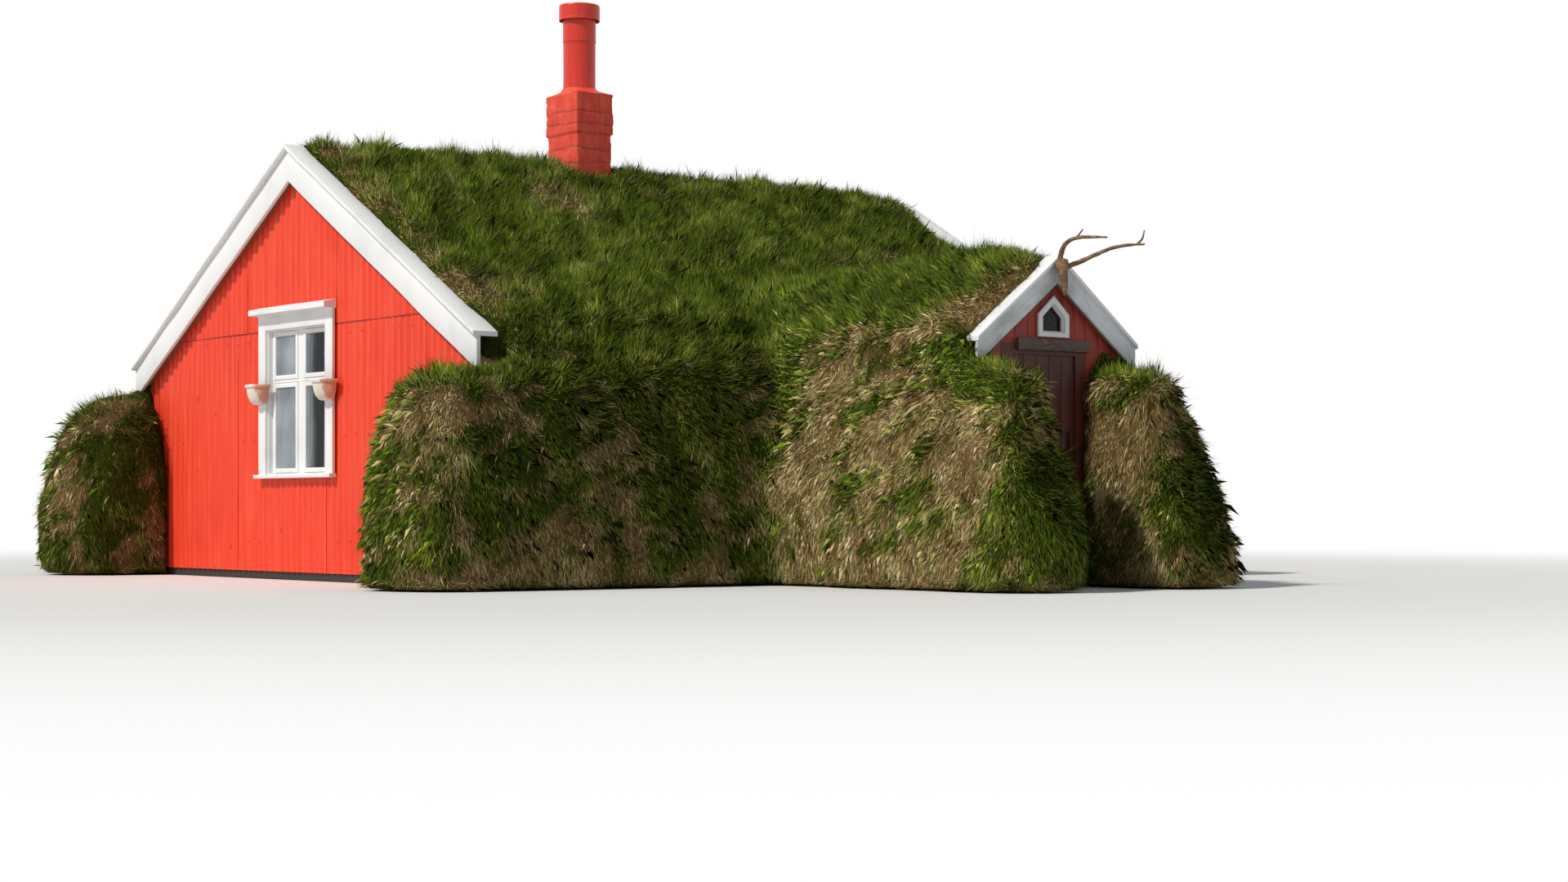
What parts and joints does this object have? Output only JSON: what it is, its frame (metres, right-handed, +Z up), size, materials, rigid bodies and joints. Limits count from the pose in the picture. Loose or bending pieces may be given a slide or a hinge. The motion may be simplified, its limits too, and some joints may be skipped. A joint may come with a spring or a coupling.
{
  "type": "turf house",
  "caption": "Small turf house with corrugated gables, turf walls and roof, a square chimney with a round flue, and a turf porch with a hinged door.",
  "frame": {"origin": "on the ground under the middle of the room, on the floor's underside", "axes": "+X along the ridge from the gable with the wall pots to the other gable, -Y towards the porch door, +Z up"},
  "size_m": [8, 9.36, 4.845],
  "materials": {
    "floor_boards": "worn matt",
    "lining_boards": "raw matt",
    "roof_boards": "raw matt",
    "red_sheet": "satin paint",
    "white_paint": "satin paint",
    "grey_white_paint": "weathered paint",
    "turf": "grass turf, rough",
    "turf_straw": "dry grass turf, rough",
    "chimney_paint": "satin masonry paint",
    "flue_paint": "satin paint",
    "glass": "clear",
    "curtain": "woven",
    "pot": "glazed",
    "dark_red_boards": "satin paint",
    "door_paint": "weathered paint",
    "dark_plank": "weathered",
    "iron": "dull",
    "antler": "dry bone"
  },
  "bodies": {
    "house": {"main_floor": "floor_boards", "front_board_walls": "lining_boards", "front_lintel": "lining_boards", "back_board_wall": "lining_boards", "left_gable_wall": "lining_boards", "right_gable_wall": "lining_boards", "left_gable_sheets": "red_sheet", "right_gable_sheets": "red_sheet", "left_gable_barges": "white_paint", "right_gable_barges": "white_paint", "left_verge_caps": "white_paint", "right_verge_caps": "white_paint", "turf_wall_front_left": "turf", "turf_wall_front_right": "turf", "turf_wall_back": "turf", "turf_roof_front": "turf", "turf_roof_back": "turf", "roof_boards_front": "roof_boards", "roof_boards_back": "roof_boards", "chimney_stack": "chimney_paint", "flue_pipe": "flue_paint", "flue_cowl": "flue_paint", "left_window_casing": "white_paint", "left_window_sash": "white_paint", "left_window_glass": "glass", "right_window_casing": "white_paint", "right_window_sash": "white_paint", "right_window_glass": "glass", "window_curtains": "curtain", "window_pots": "pot", "porch_floor": "floor_boards", "porch_turf_left": "turf_straw", "porch_turf_right": "turf_straw", "porch_turf_roof": "turf", "porch_roof_boards": "roof_boards", "porch_gable_wall": "dark_red_boards", "porch_barges": "grey_white_paint", "porch_verge_caps": "grey_white_paint", "porch_window_casing": "grey_white_paint", "porch_window_glass": "glass", "porch_sign": "dark_plank", "door_frame": "door_paint", "door_hinges": "iron", "porch_antlers": "antler"},
    "door": {"door_leaf": "door_paint", "door_fittings": "iron"}
  },
  "joints": [
    {"name": "door_hinge", "type": "hinge", "parent": "house", "child": "door", "pos_m": [-0.208, -4.998, 0.9], "axis": [0, 0, 1], "range_deg": [0, 95]}
  ]
}
